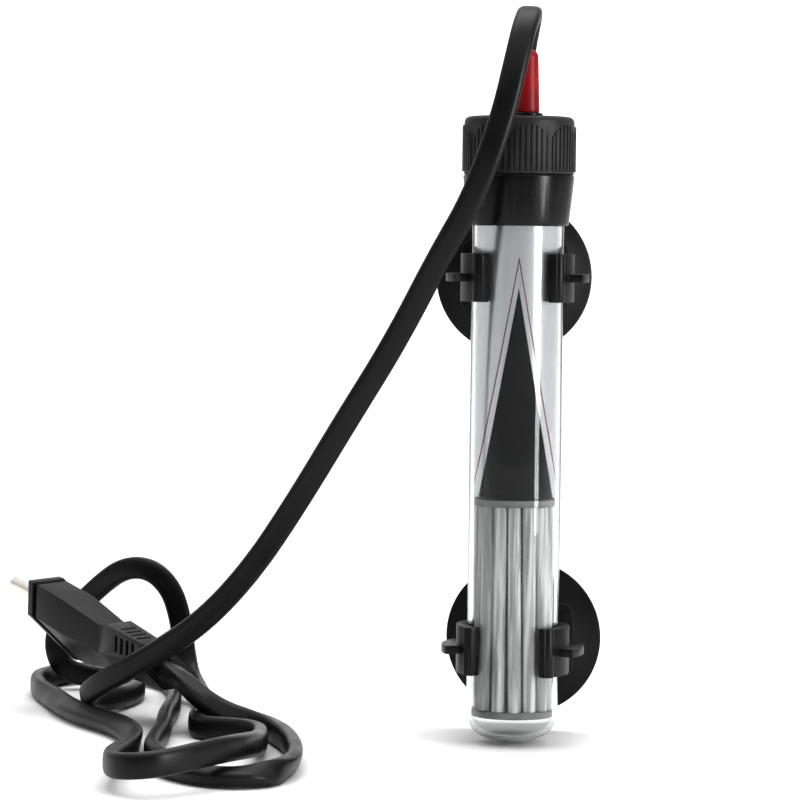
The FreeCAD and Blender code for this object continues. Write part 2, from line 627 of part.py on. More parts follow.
def plug_body():
    """The moulded grip: it narrows from the front to a waist, with a ribbed heel behind."""
    front_z = PLUG_LENGTH - FLANGE_T - GROOVE_T
    stations = [(PLUG_W - 1, PLUG_T - 0.6, front_z), (PLUG_W - 6, PLUG_T - 0.2, front_z - 12),
                (*PLUG_WAIST, PLUG_HEEL_H + 7), (*PLUG_HEEL, PLUG_HEEL_H), (*PLUG_TAIL, 0)]
    body = Part.makeLoft([hexagon(*station) for station in stations], True, True)
    half_w = (PLUG_HEEL[0] + PLUG_TAIL[0]) / 4
    slope = (PLUG_HEEL[1] + PLUG_TAIL[1]) / 8
    for across in (1, -1):
        for through in (1, -1):
            middle = Vector(across * (half_w - slope), through * slope, 0)
            turn = Rotation(Z_AXIS, -45 * across * through)
            for i in range(SLOT_COUNT):
                slot = box((-2.3, -SLOT_DEPTH, 0), (2.3, SLOT_DEPTH, SLOT_W))
                slot.Placement = Placement(middle + Z_AXIS * (4.0 + SLOT_PITCH * i), turn)
                body = body.cut(slot)
    for side in (1, -1):
        hole = rod(PIN_ROOT_R + SLIP, PLUG_LENGTH - PIN_ROOT_H, front_z + 1, side * PIN_SPACING / 2, 0)
        body = body.cut(hole)
    return body.cut(rod(CORD_R + SLIP, -1, PLUG_BORE))


def plug_pins():
    """Two round pins on the front face, each with a thinner root inside the plug."""
    pins = []
    tip_z = PLUG_LENGTH + PIN_LENGTH
    for side in (1, -1):
        x = side * PIN_SPACING / 2
        pin = rod(PIN_R, PLUG_LENGTH, tip_z, x, 0)
        tip = [edge for edge in pin.Edges if edge.BoundBox.ZMin > tip_z - 0.01]
        pin = pin.makeFillet(1.2, tip)
        pins.append(pin.fuse(rod(PIN_ROOT_R, PLUG_LENGTH - PIN_ROOT_H, PLUG_LENGTH, x, 0)))
    return pins


def in_plug(shape):
    placed = shape.copy()
    placed.Placement = plug_placement() * shape.Placement
    return placed


def build():
    os.makedirs("parts", exist_ok=True)
    lower_z = TUBE_BOTTOM_Z + LOWER_CLIP_RISE
    lead_hole = LEAD_R + SLIP
    lead_holes = [(lead_hole, x, LEAD_Y) for x in LEAD_X]
    save("glass_tube", on_tube(glass_tube()))
    save("label_liner", on_tube(label_liner()))
    save("upper_spacer", on_tube(spacer(CORE_TOP_Z, lead_holes)))
    save("lower_spacer", on_tube(spacer(CORE_BOTTOM_Z - SPACER_T, [])))
    save("ceramic_core", on_tube(rod(CORE_R, CORE_BOTTOM_Z, CORE_TOP_Z)))
    save("heating_coil", on_tube(heating_coil()))
    save("quartz_rods", *[on_tube(tube) for tube in quartz_rods()])
    save("thermostat_frame", on_tube(thermostat_frame()))
    save("bimetal_arm", on_tube(bimetal_arm()))
    save("fixed_contact", on_tube(fixed_contact()))
    save("strip_mount", on_tube(strip_mount()))
    save("adjuster_nut", on_tube(adjuster_nut()))
    save("supply_leads", *[on_tube(lead) for lead in leads(FRAME_BOTTOM_Z + 3.6, CAP_TOP_Z, LEAD_R)])
    save("element_leads", *[on_tube(lead) for lead in leads(CORE_TOP_Z, FRAME_BOTTOM_Z + 3.4, LEAD_R)])
    save("terminals", *[on_tube(tab) for tab in terminals()])
    save("magnet", on_tube(on_frame(3.6, 6.4, 1.6, 26, 30)))
    save("capacitor", on_tube(on_frame(3.5, 6.9, 2.6, 6, 14)))
    save("indicator_lamp", on_tube(lamp()))
    save("head_sleeve", on_tube(head_sleeve()))
    save("tube_gasket", on_tube(gasket()))
    save("stopper", on_tube(stopper()))
    save("cap_nut", on_tube(cap_nut()))
    save("cord_gland", on_tube(gland()))
    save("knob_boss", on_tube(knob_boss()))
    save("temperature_knob", on_tube(temperature_knob()))
    save("adjuster_spindle", on_tube(spindle()))
    for name, z, turn in (("upper", 0.0, 0.0), ("lower", lower_z, LOWER_CLIP_TURN)):
        save(f"{name}_clip", on_tube(clip(), z, turn))
        save(f"{name}_suction_cup", on_tube(suction_cup(), z, turn))
    save("power_cord", power_cord())
    save("plug_front", in_plug(plug_front()))
    save("plug_body", in_plug(plug_body()))
    save("plug_pins", *[in_plug(pin) for pin in plug_pins()])


build()
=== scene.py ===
import json
import math
import random

import bpy
from mathutils import Matrix, Vector

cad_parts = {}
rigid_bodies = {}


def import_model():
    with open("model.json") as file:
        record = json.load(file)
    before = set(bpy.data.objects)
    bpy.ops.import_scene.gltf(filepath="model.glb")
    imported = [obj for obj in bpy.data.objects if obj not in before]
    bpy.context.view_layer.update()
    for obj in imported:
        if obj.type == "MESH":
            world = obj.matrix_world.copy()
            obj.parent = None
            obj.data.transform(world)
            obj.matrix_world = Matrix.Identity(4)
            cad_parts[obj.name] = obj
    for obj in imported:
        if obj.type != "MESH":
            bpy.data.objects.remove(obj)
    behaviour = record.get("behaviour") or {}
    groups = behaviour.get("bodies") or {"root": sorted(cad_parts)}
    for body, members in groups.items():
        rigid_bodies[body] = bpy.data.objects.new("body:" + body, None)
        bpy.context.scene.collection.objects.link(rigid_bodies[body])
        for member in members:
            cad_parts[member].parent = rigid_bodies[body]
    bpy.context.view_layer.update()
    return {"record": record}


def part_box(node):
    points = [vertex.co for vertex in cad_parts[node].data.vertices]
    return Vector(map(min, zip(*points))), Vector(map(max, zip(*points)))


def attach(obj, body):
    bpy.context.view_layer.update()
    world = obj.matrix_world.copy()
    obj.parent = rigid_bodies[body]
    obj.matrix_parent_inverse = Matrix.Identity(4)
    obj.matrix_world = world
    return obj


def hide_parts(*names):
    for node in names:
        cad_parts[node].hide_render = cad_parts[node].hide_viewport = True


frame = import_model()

bl_info = {
    "name": "Aquarium Heater",
    "version": (1, 0, 0),
    "blender": (4, 5, 0),
    "location": "View3D > Sidebar > Heater",
    "description": "Builds a submersible aquarium heater round its CAD frame",
    "category": "Object",
}

MM = 0.001

# Places read from the CAD frame: the glass tube, the label and the quartz rods.
GLASS_LOW, GLASS_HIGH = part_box("glass_tube")
TUBE_R = (GLASS_HIGH[0] - GLASS_LOW[0]) / 2
AXIS = Vector(((GLASS_LOW[0] + GLASS_HIGH[0]) / 2, (GLASS_LOW[1] + GLASS_HIGH[1]) / 2, 0))
GLASS_BOTTOM = GLASS_LOW[2]
GLASS_TOP = GLASS_HIGH[2]
LABEL_LOW, LABEL_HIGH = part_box("label_liner")
LABEL_R = (LABEL_HIGH[0] - LABEL_LOW[0]) / 2
RODS_LOW, RODS_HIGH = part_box("quartz_rods")

# The cord's route, from the gland to the plug, in millimetres.
CORD_ROUTE = [
    (0.5, -21, 43.5), (0.5, -21, 53), (1.1, -21.3, 62.3), (2.3, -25.5, 69.2), (2.4, -33.5, 71.8),
    (0.6, -41.5, 67.4), (-1.6, -46.3, 58.5), (-4.4, -49, 46), (-8.4, -50, 33),
    (-13.6, -49.2, 19.5), (-21.5, -46.5, 5.5), (-33, -41.5, -17.5), (-46, -36.8, -39),
    (-58.5, -31, -60.5), (-71, -26, -80), (-84.2, -22, -94.9), (-97.8, -17.2, -104.7),
    (-108.3, -13, -110.9), (-116.2, -5, -116.3), (-119.3, 3, -120.3), (-118, 12, -122.6),
    (-113.1, 21, -122.9), (-109.8, 32, -123.7), (-107.8, 44, -123.7), (-108.8, 56, -123.7),
    (-114.5, 66, -123.7), (-124, 69.5, -123.5), (-132.2, 67.5, -120.9), (-135, 67.5, -114.6),
    (-134.1, 69.5, -107.6), (-128.9, 68, -102.9), (-121.6, 63.5, -95.4), (-113.5, 58.5, -88.9),
    (-105.1, 54.5, -88.6), (-98.7, 52.5, -94.5), (-95.8, 51, -103.8), (-94.7, 50, -112.5),
    (-93.2, 46.5, -119.4), (-90, 38, -122.9), (-87.3, 23.2, -123.7), (-85.9, 7.4, -123.7),
    (-87, -9.9, -123.7), (-86.8, -23.2, -123.7), (-83.3, -28.9, -123.7), (-76.9, -31, -123.7),
    (-71.2, -34.6, -123.6), (-68.2, -41.6, -123.5), (-67.6, -51.5, -123), (-67.4, -65, -121.8),
    (-68.2, -83, -119.6), (-72.5, -100, -117.8), (-79.2, -110, -117.8), (-86, -117.2, -118.6),
    (-92.3, -121, -119.1), (-98.4, -118.6, -119.8), (-101.9, -111.4, -120.4),
    (-102.8, -102, -120.7), (-102.2, -88, -121.8), (-101.2, -70, -123.1), (-100.9, -52, -123.7),
    (-103.3, -36, -123.7), (-109.5, -21, -123.7), (-119, -6, -123.7), (-126, 10, -123.7),
    (-131, 27, -123.7), (-136.8, 44, -123.7), (-140, 61, -123.7), (-135.5, 77, -123.7),
    (-123, 85.5, -123.7), (-109.5, 81.5, -123.7), (-101, 69, -123.7), (-98, 53.5, -123.7),
    (-96.3, 34.7, -123.7), (-95.1, 10.6, -123.7), (-95.8, -12.4, -123.7), (-94.6, -34.2, -123.7),
    (-95.3, -53.1, -123.7), (-95.4, -71.7, -123.7), (-91.3, -87, -123.7), (-83, -100, -124.3),
    (-72.5, -107, -124.2), (-62.3, -102.5, -123.9), (-58.4, -89.7, -123.7), (-57.7, -73.8, -123.7),
    (-59.1, -55.8, -123.7), (-61.7, -42.3, -123.7), (-66, -28.4, -123.7), (-72.1, -20, -123.1),
    (-79.4, -17, -121.1), (-85.8, -16.5, -117.2), (-93.31, -10.4, -110.79),
    (-99.71, -1.6, -109.16),
]

# Which way the flat cord's broad side runs: the number of a point on the route, and a direction.
BROAD_SIDE = [
    (0, (1, 0, 0)), (5, (1, 0, 0)), (8, (0.9, 0, -0.3)), (16, (0.6, 0.1, -0.8)),
    (19, (0.2, 0, -1)), (26, (0, 0, -1)), (29, (-1, 0, 0)), (32, (0, 0, 1)),
    (35, (1, 0, 0.1)), (38, (0.5, 0, 0.8)), (41, (0, 0, 1)), (58, (0, 0, 1)),
    (61, (0.5, 0.7, 0.35)), (63, (0.5, 0.7, 0.35)), (65, (0, 0, 1)), (66, (0, 0.2, 0.9)),
    (68, (0, 0.9, 0.3)), (70, (0, 0.9, 0.4)), (73, (0, 0, 1)), (77, (0, 0, 1)),
    (79, (0.5, 0.85, 0.15)), (81, (0.5, 0.85, 0.2)), (84, (0, 0, 1)), (86, (0.1, 0.1, 0.9)),
    (88, (0.5, 0.5, 0.6)), (89, (0.54, 0.55, 0.3)), (91, (0.547, 0.52, -0.656)),
]
TWIST_ROUNDS = 12  # times that these directions are smoothed along the cord

ROD_PITCH = 3.9 * MM  # from one quartz rod to the next, round their circle
ROD_LEAN = 0.012  # most that a rod leans, in radians
ROD_BORE = 0.6  # share of a rod's radius


class HeaterSizes(bpy.types.PropertyGroup):
    """Sizes that a user would change."""
    glass_wall: bpy.props.FloatProperty(
        name="Glass Wall", description="Thickness of the tube's glass",
        default=1.1 * MM, min=0.2 * MM, unit="LENGTH")
    dome_height: bpy.props.FloatProperty(
        name="Dome Height", description="Height of the tube's rounded end",
        default=8.5 * MM, min=1 * MM, unit="LENGTH")
    dome_corner: bpy.props.FloatProperty(
        name="Dome Corner", description="Radius where the tube's wall turns into its end",
        default=7.0 * MM, min=1 * MM, unit="LENGTH")
    cord_width: bpy.props.FloatProperty(
        name="Cord Width", description="Broad side of the flat cord",
        default=6.6 * MM, min=1 * MM, unit="LENGTH")
    cord_thickness: bpy.props.FloatProperty(
        name="Cord Thickness", description="Narrow side of the flat cord",
        default=4.2 * MM, min=1 * MM, unit="LENGTH")
    rod_radius: bpy.props.FloatProperty(
        name="Rod Radius", description="Radius of the quartz rods round the element",
        default=1.75 * MM, min=0.3 * MM, unit="LENGTH")
    edge_round: bpy.props.FloatProperty(
        name="Edge Round", description="Rounding of the moulded edges",
        default=0.25 * MM, min=0.02 * MM, unit="LENGTH")


class HeaterColours(bpy.types.PropertyGroup):
    """Colours that a user would change."""
    plastic: bpy.props.FloatVectorProperty(
        name="Plastic", description="Black of the moulded parts",
        subtype="COLOR", size=3, default=(0.006, 0.006, 0.006), min=0, max=1)
    cap: bpy.props.FloatVectorProperty(
        name="Cap", description="Dark grey of the screw cap",
        subtype="COLOR", size=3, default=(0.024, 0.024, 0.0245), min=0, max=1)
    cord: bpy.props.FloatVectorProperty(
        name="Cord", description="Black of the cord's sheath",
        subtype="COLOR", size=3, default=(0.006, 0.006, 0.006), min=0, max=1)
    knob: bpy.props.FloatVectorProperty(
        name="Knob", description="Red of the temperature knob",
        subtype="COLOR", size=3, default=(0.30, 0.004, 0.008), min=0, max=1)
    label: bpy.props.FloatVectorProperty(
        name="Label", description="Silver of the label film",
        subtype="COLOR", size=3, default=(0.62, 0.62, 0.64), min=0, max=1)


# ---- modelling helpers ----------------------------------------------------------------

def deselect():
    if bpy.context.mode != "OBJECT":
        bpy.ops.object.mode_set(mode="OBJECT")
    bpy.ops.object.select_all(action="DESELECT")


def pick(obj):
    """Make one object the only selected and active one."""
    deselect()
    obj.select_set(True)
    bpy.context.view_layer.objects.active = obj


def arc(centre, radius, start, end, steps):
    """Points of an arc as (radius, height), angles in degrees from the outward side."""
    points = []
    for i in range(steps + 1):
        a = math.radians(start + (end - start) * i / steps)
        points.append((centre[0] + radius * math.cos(a), centre[1] + radius * math.sin(a)))
    return points


def turned(name, outline, segments=96, closed=False, smooth=40):
    """Extrude a ring of points along an outline of (radius, height), as on a lathe."""
    deselect()
    radius, height = outline[0]
    bpy.ops.mesh.primitive_circle_add(vertices=segments, radius=radius, location=(0, 0, height))
    obj = bpy.context.object
    obj.name = name
    bpy.ops.object.transform_apply(location=True)
    bpy.ops.object.mode_set(mode="EDIT")
    bpy.ops.mesh.select_all(action="SELECT")
    for next_radius, next_height in outline[1:]:
        bpy.ops.mesh.extrude_edges_move(
            TRANSFORM_OT_translate={"value": (0, 0, next_height - height)})
        scale = next_radius / radius
        bpy.ops.transform.resize(value=(scale, scale, 1), center_override=(0, 0, next_height))
        radius, height = next_radius, next_height
    if closed:
        bpy.ops.mesh.select_all(action="DESELECT")
        bpy.ops.mesh.select_non_manifold()
        bpy.ops.mesh.bridge_edge_loops()
    else:
        bpy.ops.mesh.select_all(action="SELECT")
        bpy.ops.mesh.fill_holes(sides=0)
    bpy.ops.mesh.select_all(action="SELECT")
    bpy.ops.mesh.remove_doubles(threshold=1e-7)
    bpy.ops.mesh.normals_make_consistent(inside=False)
    bpy.ops.object.mode_set(mode="OBJECT")
    bpy.ops.object.shade_smooth_by_angle(angle=math.radians(smooth))
    return obj


def put(obj, place):
    """Move a piece to its place, with the place kept in its mesh."""
    pick(obj)
    obj.matrix_world = place
    bpy.ops.object.transform_apply(location=True, rotation=True, scale=True)
    return obj


def on_axis(obj):
    """Put a piece on the glass tube's axis."""
    return put(obj, Matrix.Translation(AXIS))


def apply_modifier(obj, kind, **settings):
    pick(obj)
    modifier = obj.modifiers.new(kind.title(), kind)
    for key, value in settings.items():
        setattr(modifier, key, value)
    bpy.ops.object.modifier_apply(modifier=modifier.name)


def softened(node, name, width, segments=2):
    """A copy of a CAD node with merged corners and small rounded edges."""
    source = bpy.data.objects[node]
    copy = source.copy()
    copy.data = source.data.copy()
    copy.name = name
    copy.data.name = name
    for key in [key for key in copy.keys() if key.startswith("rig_")]:
        del copy[key]
    bpy.context.scene.collection.objects.link(copy)
    pick(copy)
    bpy.ops.object.mode_set(mode="EDIT")
    bpy.ops.mesh.select_all(action="SELECT")
    bpy.ops.mesh.remove_doubles(threshold=1e-6)
    bpy.ops.mesh.dissolve_limited(angle_limit=math.radians(0.6))
    bpy.ops.object.mode_set(mode="OBJECT")
    apply_modifier(copy, "BEVEL", width=width, segments=segments, limit_method="ANGLE",
                   angle_limit=math.radians(32), use_clamp_overlap=True)
    bpy.ops.object.shade_smooth_by_angle(angle=math.radians(35))
    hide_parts(node)
    return copy


def dress(obj, material, body):
    """Give a piece its material and the body that it rides on."""
    obj.data.materials.clear()
    obj.data.materials.append(material)
    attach(obj, body)
    return obj


# ---- material helpers ------------------------------------------------------------------

def add_node(tree, kind, inputs=None, **settings):
    node = tree.nodes.new(kind)
    for key, value in settings.items():
        setattr(node, key, value)
    for key, value in (inputs or {}).items():
        if isinstance(value, bpy.types.NodeSocket):
            tree.links.new(value, node.inputs[key])
        else:
            node.inputs[key].default_value = value
    return node


def calc(tree, operation, a, b=0.0):
    """A Math node; a and b are sockets or numbers."""
    return add_node(tree, "ShaderNodeMath", {0: a, 1: b}, operation=operation).outputs[0]


def step(tree, value, low, high):
    """A smooth change from 0 at low to 1 at high."""
    return add_node(tree, "ShaderNodeMapRange",
                    {"Value": value, "From Min": low, "From Max": high},
                    interpolation_type="SMOOTHSTEP").outputs[0]


def blend_colour(tree, factor, a, b):
    """Colour a at factor 0 and b at factor 1."""
    node = add_node(tree, "ShaderNodeMix", data_type="RGBA")
    for socket, value in ((0, factor), (6, a), (7, b)):
        if isinstance(value, bpy.types.NodeSocket):
            tree.links.new(value, node.inputs[socket])
        else:
            node.inputs[socket].default_value = value
    return node.outputs[2]


def shade(colour, factor):
    """A colour made lighter or darker."""
    return (*[min(1.0, c * factor) for c in colour[:3]], 1.0)


def new_material(name):
    """A node material, as its material, node tree and shader."""
    material = bpy.data.materials.new(name)
    material.use_nodes = True
    return material, material.node_tree, material.node_tree.nodes["Principled BSDF"]


def moulded(name, colour, roughness, grain=1400.0, depth=0.15):
    """Moulded plastic or rubber: faint mottling, a fine grain and uneven gloss."""
    material, tree, shader = new_material(name)
    place = add_node(tree, "ShaderNodeTexCoord").outputs["Object"]
    broad = add_node(tree, "ShaderNodeTexNoise", {"Vector": place, "Scale": 90.0, "Detail": 4.0})
    fine = add_node(tree, "ShaderNodeTexNoise", {"Vector": place, "Scale": grain, "Detail": 3.0})
    colour_out = blend_colour(tree, step(tree, broad.outputs[0], 0.35, 0.65),
                              shade(colour, 0.75), shade(colour, 1.25))
    tree.links.new(colour_out, shader.inputs["Base Color"])
    gloss = add_node(tree, "ShaderNodeMapRange", {
        "Value": broad.outputs[0], "From Min": 0.3, "From Max": 0.7,
        "To Min": roughness - 0.05, "To Max": roughness + 0.06})
    tree.links.new(gloss.outputs[0], shader.inputs["Roughness"])
    bump = add_node(tree, "ShaderNodeBump", {"Height": fine.outputs[0], "Strength": depth,
                                             "Distance": 0.0002})
    tree.links.new(bump.outputs[0], shader.inputs["Normal"])
    shader.inputs["Specular IOR Level"].default_value = 0.34
    return material


def clear_glass(name, tint=(0.97, 0.985, 0.985)):
    """Clear glass with slight waves in its surface."""
    material, tree, shader = new_material(name)
    place = add_node(tree, "ShaderNodeTexCoord").outputs["Object"]
    waves = add_node(tree, "ShaderNodeTexNoise", {"Vector": place, "Scale": 35.0, "Detail": 1.0})
    colour = blend_colour(tree, waves.outputs[0], shade(tint, 0.985), shade(tint, 1.0))
    tree.links.new(colour, shader.inputs["Base Color"])
    bump = add_node(tree, "ShaderNodeBump", {"Height": waves.outputs[0], "Strength": 0.05,
                                             "Distance": 0.0005})
    tree.links.new(bump.outputs[0], shader.inputs["Normal"])
    shader.inputs["Transmission Weight"].default_value = 1.0
    shader.inputs["Roughness"].default_value = 0.0
    shader.inputs["IOR"].default_value = 1.38
    return material


def tube_place(tree):
    """Object coordinates measured from the tube's axis, as separate x, y and z."""
    place = add_node(tree, "ShaderNodeTexCoord").outputs["Object"]
    centred = add_node(tree, "ShaderNodeMapping",
                       {"Vector": place, "Location": tuple(-AXIS)}).outputs[0]
    split = add_node(tree, "ShaderNodeSeparateXYZ", {"Vector": centred})
    return centred, split.outputs[0], split.outputs[1], split.outputs[2]


def label_film(colour):
    """Silver film with a black wedge on its front and a fine red outline round it."""
    material, tree, shader = new_material("Label_Film")
    centred, x, y, z = tube_place(tree)
    brushed = add_node(tree, "ShaderNodeMapping", {"Vector": centred, "Scale": (1, 1, 0.01)})
    streaks = add_node(tree, "ShaderNodeTexNoise",
                       {"Vector": brushed.outputs[0], "Scale": 500.0, "Detail": 2.0})
    silver = blend_colour(tree, streaks.outputs[0], shade(colour, 0.92), shade(colour, 1.08))
    across = calc(tree, "ABSOLUTE", x)
    front = step(tree, y, 0.0, -0.001)

    def wedge(apex, slope):
        """Distance inside a wedge that opens downwards from its apex."""
        below = calc(tree, "SUBTRACT", apex, z)
        return calc(tree, "SUBTRACT", calc(tree, "MULTIPLY", below, slope), across)

    black = calc(tree, "MULTIPLY", step(tree, wedge(-2.6 * MM, 0.170), -0.00004, 0.00004), front)
    inside = wedge(4.9 * MM, 0.176)
    line = calc(tree, "MULTIPLY", step(tree, inside, -0.0002, -0.0001),
                step(tree, inside, 0.00018, 0.00008))
    line = calc(tree, "MULTIPLY", line, front)
    printed = blend_colour(tree, line, silver, (0.16, 0.015, 0.02, 1))
    printed = blend_colour(tree, black, printed, (0.006, 0.006, 0.007, 1))
    tree.links.new(printed, shader.inputs["Base Color"])
    metal = calc(tree, "SUBTRACT", 0.72, calc(tree, "MULTIPLY", black, 0.72))
    tree.links.new(metal, shader.inputs["Metallic"])
    rough = calc(tree, "SUBTRACT", 0.24, calc(tree, "MULTIPLY", black, 0.04))
    tree.links.new(rough, shader.inputs["Roughness"])
    shader.inputs["Specular IOR Level"].default_value = 0.03
    return material


def quartz(name):
    """Milky quartz with long streaks that run along the rods."""
    material, tree, shader = new_material(name)
    centred = tube_place(tree)[0]
    long = add_node(tree, "ShaderNodeMapping", {"Vector": centred, "Scale": (1, 1, 0.04)})
    streaks = add_node(tree, "ShaderNodeTexNoise",
                       {"Vector": long.outputs[0], "Scale": 900.0, "Detail": 3.0})
    colour = blend_colour(tree, step(tree, streaks.outputs[0], 0.38, 0.62),
                          (0.50, 0.50, 0.485, 1), (0.97, 0.97, 0.96, 1))
    tree.links.new(colour, shader.inputs["Base Color"])
    bump = add_node(tree, "ShaderNodeBump", {"Height": streaks.outputs[0], "Strength": 0.25,
                                             "Distance": 0.0006})
    tree.links.new(bump.outputs[0], shader.inputs["Normal"])
    shader.inputs["Transmission Weight"].default_value = 0.1
    shader.inputs["Roughness"].default_value = 0.22
    shader.inputs["IOR"].default_value = 1.46
    return material


def metal(name, colour, roughness):
    """Metal with fine scratches."""
    material, tree, shader = new_material(name)
    place = add_node(tree, "ShaderNodeTexCoord").outputs["Object"]
    scratches = add_node(tree, "ShaderNodeTexNoise",
                         {"Vector": place, "Scale": 1200.0, "Detail": 4.0})
    tint = blend_colour(tree, scratches.outputs[0], shade(colour, 0.85), shade(colour, 1.1))
    tree.links.new(tint, shader.inputs["Base Color"])
    gloss = add_node(tree, "ShaderNodeMapRange", {
        "Value": scratches.outputs[0], "To Min": roughness - 0.06, "To Max": roughness + 0.08})
    tree.links.new(gloss.outputs[0], shader.inputs["Roughness"])
    shader.inputs["Metallic"].default_value = 1.0
    return material


def material_for(name, maker, *args, **kwargs):
    """The material of that name, made the first time that it is asked for."""
    found = bpy.data.materials.get(name)
    return found if found else maker(name, *args, **kwargs)


# ---- the stage --------------------------------------------------------------------------

class HEATER_OT_stage(bpy.types.Operator):
    """Camera, pale floor with a swept-up back, and soft studio lights"""
    bl_idname = "heater.stage"
    bl_label = "Stage"

    def execute(self, context):
        self.camera(context.scene)
        self.sweep()
        self.lights()
        self.world(context.scene)
        context.scene.view_settings.view_transform = "Standard"
        context.scene.view_settings.gamma = 0.8
        return {"FINISHED"}

    def camera(self, scene):
        """A long lens in front of the heater, looking a little down."""
        data = bpy.data.cameras.new("Camera")
        data.sensor_width = 36.0
        data.lens = 145.8
        camera = bpy.data.objects.new("Camera", data)
        scene.collection.objects.link(camera)
        pitch = math.radians(90 - 2.798)
        turn = Matrix.Rotation(pitch, 4, "X") @ Matrix.Rotation(0.0115, 4, "Z")
        camera.matrix_world = Matrix.Translation((-0.0315, -0.907, 0.0094)) @ turn
        scene.camera = camera

    def sweep(self):
        """Pale floor that curves up into a wall behind, with painted shade that greys the floor in
        front.
        """
        deselect()
        floor_z = GLASS_BOTTOM - 0.0001
        bpy.ops.mesh.primitive_plane_add(size=1, location=(0, -3, floor_z))
        floor = bpy.context.object
        floor.name = "stage_floor"
        floor.scale = (18, 11.0, 1)
        bpy.ops.object.transform_apply(location=True, scale=True)
        bpy.ops.object.mode_set(mode="EDIT")
        bpy.ops.mesh.select_mode(type="EDGE")
        bpy.ops.mesh.select_all(action="DESELECT")
        bpy.ops.object.mode_set(mode="OBJECT")
        back = max(v.co.y for v in floor.data.vertices)
        for edge in floor.data.edges:
            ends = [floor.data.vertices[i].co.y for i in edge.vertices]
            edge.select = all(abs(end - back) < 1e-6 for end in ends)
        bpy.ops.object.mode_set(mode="EDIT")
        radius, steps, wall = 0.7, 16, 2.0
        for i in range(steps):
            a, b = (math.pi / 2 * k / steps for k in (i, i + 1))
            move = (0, radius * (math.sin(b) - math.sin(a)), radius * (math.cos(a) - math.cos(b)))
            bpy.ops.mesh.extrude_edges_move(TRANSFORM_OT_translate={"value": move})
        bpy.ops.mesh.extrude_edges_move(TRANSFORM_OT_translate={"value": (0, 0, wall)})
        bpy.ops.mesh.select_mode(type="VERT")
        bpy.ops.object.mode_set(mode="OBJECT")
        bpy.ops.object.shade_smooth()
        material, tree, shader = new_material("Studio_Floor_Painted_Shade")
        place = add_node(tree, "ShaderNodeTexCoord").outputs["Object"]
        paper = add_node(tree, "ShaderNodeTexNoise", {"Vector": place, "Scale": 300.0})
        tint = blend_colour(tree, paper.outputs[0], (0.90, 0.90, 0.90, 1), (0.93, 0.93, 0.93, 1))
        y = add_node(tree, "ShaderNodeSeparateXYZ", {"Vector": place}).outputs[1]
        # Painted shade: the floor turns from white to grey towards the camera, between 0.4 m and
        # 1.6 m in front, standing in for the dim front of the studio.
        tint = blend_colour(tree, step(tree, y, -1.6, -0.4), (0.45, 0.45, 0.45, 1), tint)
        tree.links.new(tint, shader.inputs["Base Color"])
        shader.inputs["Roughness"].default_value = 0.9
        shader.inputs["Specular IOR Level"].default_value = 0.1
        floor.data.materials.append(material)

    def lights(self):
        """A tall strip on the right, a broad one overhead and one that washes the wall."""
        heater, wall = Vector((-0.03, -0.03, -0.03)), Vector((0, 3.2, 0.5))
        for name, place, aim, size, power in (
                ("Strip_Right", Vector((0.78, -0.60, 0.05)), heater, (0.20, 0.9), 4.6),
                ("Fill_Top", Vector((0.0, 0.25, 1.3)), heater, (1.4, 1.0), 5.0),
                ("Back_Wash", Vector((0.0, 1.7, 1.9)), wall, (3.0, 0.8), 22.0)):
            data = bpy.data.lights.new(name, "AREA")
            data.shape = "RECTANGLE"
            data.size, data.size_y = size
            data.energy = power
            data.spread = math.radians(120)
            light = bpy.data.objects.new(name, data)
            bpy.context.scene.collection.objects.link(light)
            light.location = place
            light.rotation_euler = (aim - place).to_track_quat("-Z", "Y").to_euler()

    def world(self, scene):
        """White overhead, behind and on the left, dimmer in front and on the right."""
        world = bpy.data.worlds.new("Studio")
        world.use_nodes = True
        tree = world.node_tree
        background = tree.nodes["Background"]
        way = add_node(tree, "ShaderNodeTexCoord").outputs["Generated"]
        split = add_node(tree, "ShaderNodeSeparateXYZ", {"Vector": way})
        level = add_node(tree, "ShaderNodeMapRange", {
            "Value": split.outputs[1], "From Min": -0.85, "From Max": 0.3,
            "To Min": 0.10, "To Max": 1.0}, interpolation_type="SMOOTHSTEP").outputs[0]
        above = step(tree, split.outputs[2], 0.35, 0.75)
        flag = calc(tree, "MULTIPLY", step(tree, split.outputs[0], 0.78, 0.90), 0.72)
        level = calc(tree, "MULTIPLY", level, calc(tree, "SUBTRACT", 1.0, flag))
        level = calc(tree, "MAXIMUM", level, calc(tree, "MULTIPLY", above, 1.35))
        tree.links.new(level, background.inputs["Color"])
        scene.world = world


# ---- the cord and its plug ---------------------------------------------------------------

